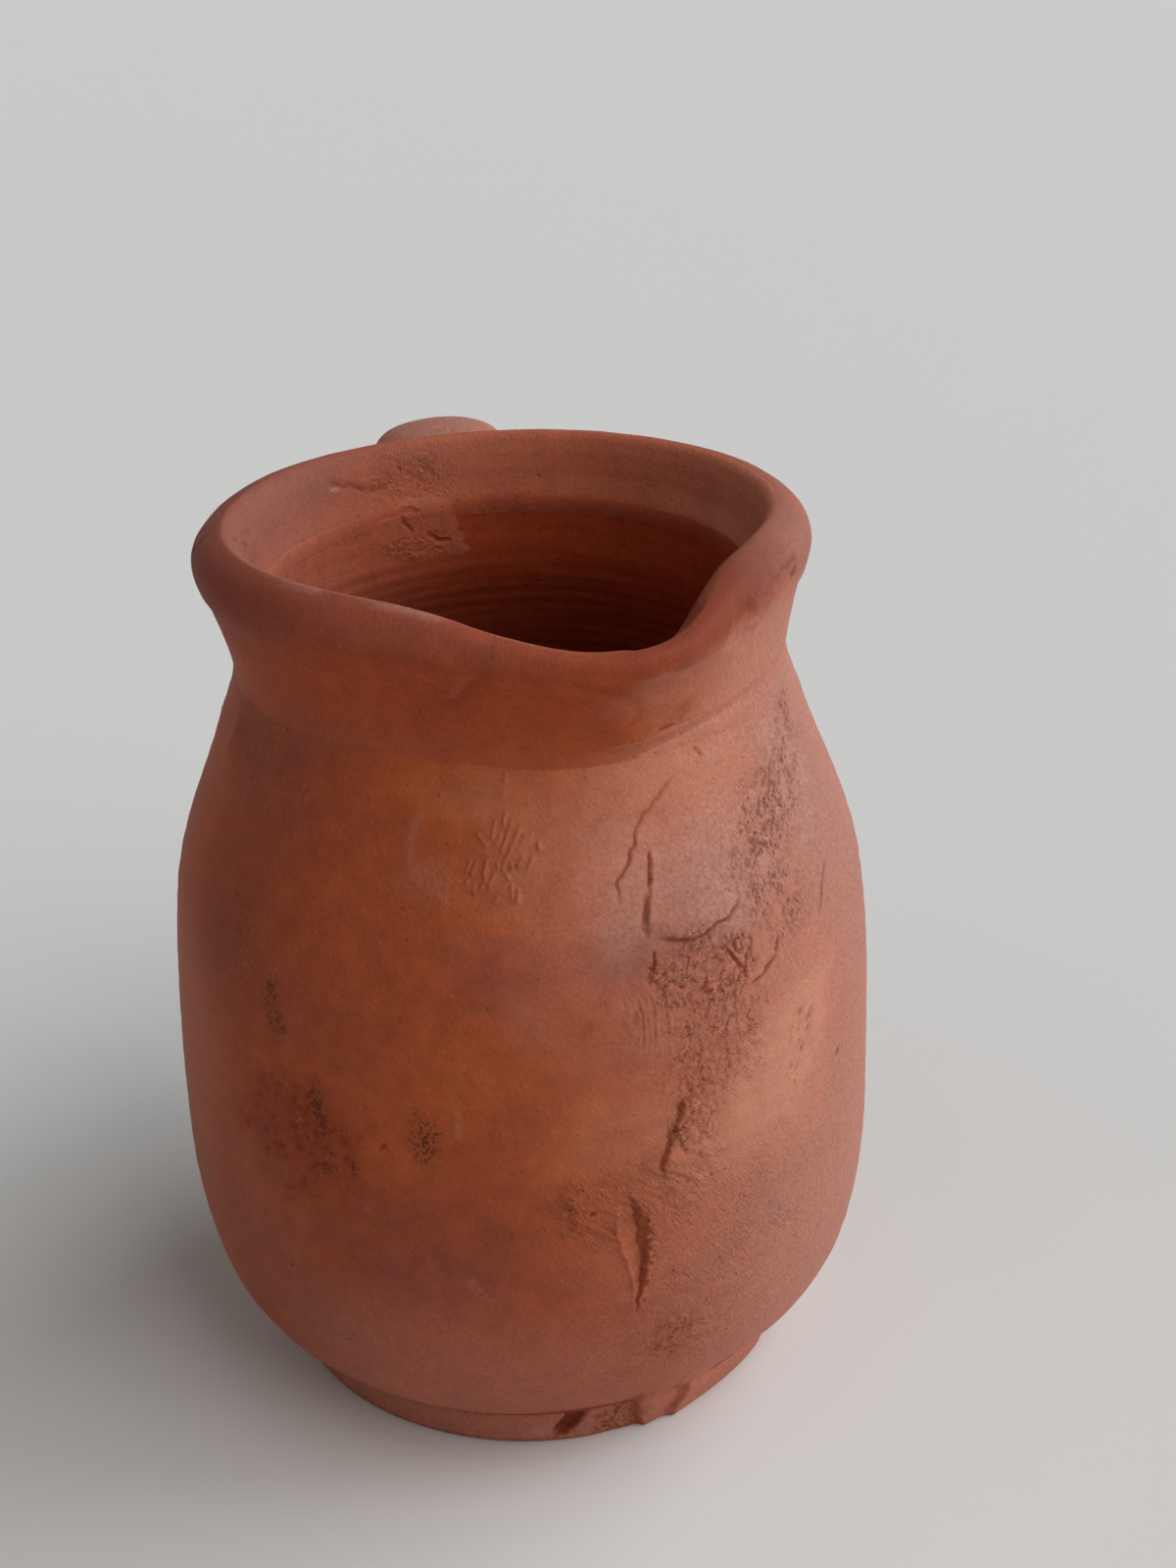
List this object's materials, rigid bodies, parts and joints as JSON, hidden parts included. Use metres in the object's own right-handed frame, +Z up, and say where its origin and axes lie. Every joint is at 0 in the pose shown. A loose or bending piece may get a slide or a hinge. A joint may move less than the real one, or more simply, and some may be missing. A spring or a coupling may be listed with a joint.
{
  "type": "jug",
  "caption": "Unglazed terracotta jug: a round thrown body on a foot disc, a flared collar with a pulled spout, and a strap handle, for holding and pouring liquids.",
  "frame": {"origin": "centre of the foot's underside", "axes": "+Z up along the wall's turning axis, +Y towards the handle, the spout towards -Y and 7 degrees round towards +X"},
  "size_m": [0.1252, 0.1574, 0.157],
  "materials": {
    "wall_clay": "unglazed orange-brown terracotta, matt, blotched and scarred by hand",
    "collar_clay": "unglazed terracotta, darker red-brown, matt",
    "foot_clay": "unglazed red-brown terracotta, matt, chipped",
    "handle_clay": "unglazed terracotta, matt, smoothed with a wet finger",
    "slip_clay": "fired slip in the joints, matt"
  },
  "bodies": {
    "root": {"foot": "foot_clay", "foot_slip": "slip_clay", "body_wall": "wall_clay", "collar_slip": "slip_clay", "collar": "collar_clay", "handle": "handle_clay", "handle_top_slip": "slip_clay", "handle_base_slip": "slip_clay", "handle_top_wad": "handle_clay", "handle_base_wad": "handle_clay", "inner_patch": "collar_clay"}
  },
  "joints": []
}
